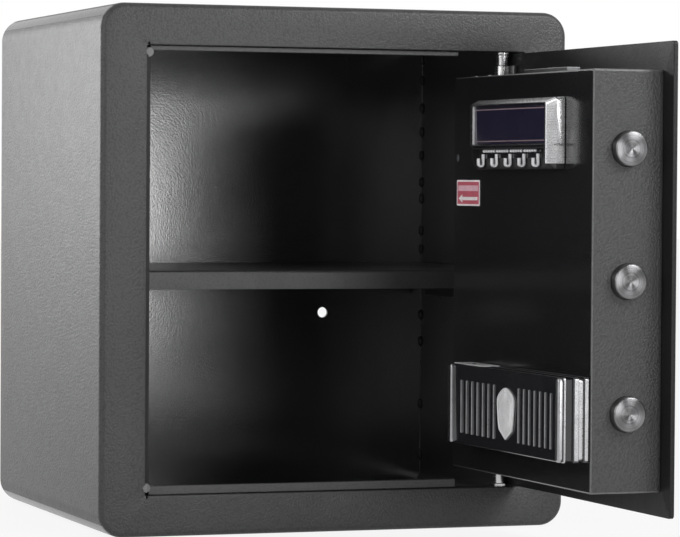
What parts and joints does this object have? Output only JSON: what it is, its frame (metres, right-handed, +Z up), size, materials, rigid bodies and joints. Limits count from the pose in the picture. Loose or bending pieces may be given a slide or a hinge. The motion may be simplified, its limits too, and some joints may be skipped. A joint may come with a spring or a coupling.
{
  "type": "home safe",
  "caption": "Steel home safe: cabinet with one shelf and a hinged door with round bolts, keypad, turning handle, emergency lock, battery box and key hooks.",
  "frame": {"origin": "centre of the cabinet's underside", "axes": "+X to the hinge side, +Y to the back, +Z up; the door hangs on the front, at -Y, and stands open at 91 degrees"},
  "size_m": [0.422, 0.6628, 0.45],
  "materials": {
    "powder_coat": "fine leather-grain powder coat",
    "dark_coat": "semi-gloss dark coat",
    "bolt_steel": "turned and polished",
    "plain_steel": "zinc plated sheet",
    "chrome": "polished",
    "black_gloss": "glossy moulded",
    "black_plastic": "fine texture moulded",
    "window_blue": "dark tinted window",
    "key_grey": "soft touch",
    "board_green": "solder mask",
    "label_red": "printed film",
    "battery_case": "plain sleeve",
    "lead_red": "plain sheath"
  },
  "bodies": {
    "cabinet": {"cabinet_shell": "powder_coat", "back_panel": "powder_coat", "door_stop_top": "powder_coat", "door_stop_bottom": "powder_coat", "hinge_bush_top": "bolt_steel", "hinge_bush_bottom": "bolt_steel", "shelf": "powder_coat", "shelf_rail_left": "dark_coat", "shelf_rail_right": "dark_coat"},
    "door": {"door_plate": "powder_coat", "door_box": "powder_coat", "box_top_strip": "plain_steel", "hinge_bracket_top": "dark_coat", "hinge_bracket_bottom": "dark_coat", "hinge_pin_top": "bolt_steel", "hinge_pin_bottom": "bolt_steel", "bolt_guide_plate": "plain_steel", "guide_post_lower": "plain_steel", "guide_post_upper": "plain_steel", "handle_rose": "chrome", "solenoid_body": "plain_steel", "override_lock_body": "plain_steel", "keypad_housing": "black_plastic", "display_lens": "window_blue", "control_housing": "black_gloss", "control_window": "window_blue", "control_board": "board_green", "key_hook_rail": "chrome", "arrow_label": "label_red", "battery_housing": "black_gloss", "battery_1": "battery_case", "battery_2": "battery_case", "battery_3": "battery_case", "battery_4": "battery_case", "battery_lead": "lead_red"},
    "bolts": {"bolt_carrier": "plain_steel", "bolt_bottom": "bolt_steel", "bolt_middle": "bolt_steel", "bolt_top": "bolt_steel"},
    "handle": {"crank": "plain_steel", "handle_spindle": "plain_steel", "handle_knob": "chrome"},
    "plunger": {"solenoid_plunger": "bolt_steel"},
    "override": {"override_cylinder": "bolt_steel"},
    "cover": {"keyhole_cover": "chrome"},
    "reset": {"reset_button": "key_grey"},
    "lid": {"battery_lid": "black_gloss", "lid_emblem": "chrome"},
    "digit_1": {"key_1": "key_grey"},
    "digit_2": {"key_2": "key_grey"},
    "digit_3": {"key_3": "key_grey"},
    "digit_4": {"key_4": "key_grey"},
    "digit_5": {"key_5": "key_grey"},
    "digit_6": {"key_6": "key_grey"},
    "digit_7": {"key_7": "key_grey"},
    "digit_8": {"key_8": "key_grey"},
    "digit_9": {"key_9": "key_grey"},
    "digit_0": {"key_0": "key_grey"},
    "clear": {"key_clear": "key_grey"},
    "enter": {"key_enter": "key_grey"}
  },
  "joints": [
    {"name": "door_swing", "type": "hinge", "parent": "cabinet", "child": "door", "pos_m": [0.155, -0.1635, 0], "axis": [0, 0, 1], "range_deg": [-91, 14]},
    {"name": "bolts_slide", "type": "slide", "parent": "door", "child": "bolts", "axis": [0.0175, -0.9998, 0], "range_m": [0, 0.022]},
    {"name": "handle_turn", "type": "hinge", "parent": "door", "child": "handle", "pos_m": [0.17001, -0.36427, 0.205], "axis": [0.9998, 0.0175, 0], "range_deg": [0, 90]},
    {"name": "plunger_slide", "type": "slide", "parent": "door", "child": "plunger", "axis": [-0.9998, -0.0175, 0], "range_m": [0, 0.005]},
    {"name": "override_turn", "type": "hinge", "parent": "door", "child": "override", "pos_m": [0.16852, -0.27928, 0.205], "axis": [0.9998, 0.0175, 0], "range_deg": [0, 90]},
    {"name": "keyhole_cover_swing", "type": "hinge", "parent": "door", "child": "cover", "pos_m": [0.16852, -0.27928, 0.229], "axis": [0.9998, 0.0175, 0], "range_deg": [-100, 100]},
    {"name": "reset_press", "type": "slide", "parent": "door", "child": "reset", "axis": [0.9998, 0.0175, 0], "range_m": [0, 0.002], "stiffness_N_per_m": 500},
    {"name": "battery_lid_slide", "type": "slide", "parent": "door", "child": "lid", "axis": [-0.0175, 0.9998, 0], "range_m": [0, 0.045]},
    {"name": "key_1_press", "type": "slide", "parent": "door", "child": "digit_1", "axis": [-0.9998, -0.0175, 0], "range_m": [0, 0.0012], "stiffness_N_per_m": 800},
    {"name": "key_2_press", "type": "slide", "parent": "door", "child": "digit_2", "axis": [-0.9998, -0.0175, 0], "range_m": [0, 0.0012], "stiffness_N_per_m": 800},
    {"name": "key_3_press", "type": "slide", "parent": "door", "child": "digit_3", "axis": [-0.9998, -0.0175, 0], "range_m": [0, 0.0012], "stiffness_N_per_m": 800},
    {"name": "key_4_press", "type": "slide", "parent": "door", "child": "digit_4", "axis": [-0.9998, -0.0175, 0], "range_m": [0, 0.0012], "stiffness_N_per_m": 800},
    {"name": "key_5_press", "type": "slide", "parent": "door", "child": "digit_5", "axis": [-0.9998, -0.0175, 0], "range_m": [0, 0.0012], "stiffness_N_per_m": 800},
    {"name": "key_6_press", "type": "slide", "parent": "door", "child": "digit_6", "axis": [-0.9998, -0.0175, 0], "range_m": [0, 0.0012], "stiffness_N_per_m": 800},
    {"name": "key_7_press", "type": "slide", "parent": "door", "child": "digit_7", "axis": [-0.9998, -0.0175, 0], "range_m": [0, 0.0012], "stiffness_N_per_m": 800},
    {"name": "key_8_press", "type": "slide", "parent": "door", "child": "digit_8", "axis": [-0.9998, -0.0175, 0], "range_m": [0, 0.0012], "stiffness_N_per_m": 800},
    {"name": "key_9_press", "type": "slide", "parent": "door", "child": "digit_9", "axis": [-0.9998, -0.0175, 0], "range_m": [0, 0.0012], "stiffness_N_per_m": 800},
    {"name": "key_0_press", "type": "slide", "parent": "door", "child": "digit_0", "axis": [-0.9998, -0.0175, 0], "range_m": [0, 0.0012], "stiffness_N_per_m": 800},
    {"name": "key_clear_press", "type": "slide", "parent": "door", "child": "clear", "axis": [-0.9998, -0.0175, 0], "range_m": [0, 0.0012], "stiffness_N_per_m": 800},
    {"name": "key_enter_press", "type": "slide", "parent": "door", "child": "enter", "axis": [-0.9998, -0.0175, 0], "range_m": [0, 0.0012], "stiffness_N_per_m": 800}
  ],
  "couplings": [
    {"joint": "handle_turn", "follows": "bolts_slide", "rad_per_m": 71.4}
  ]
}
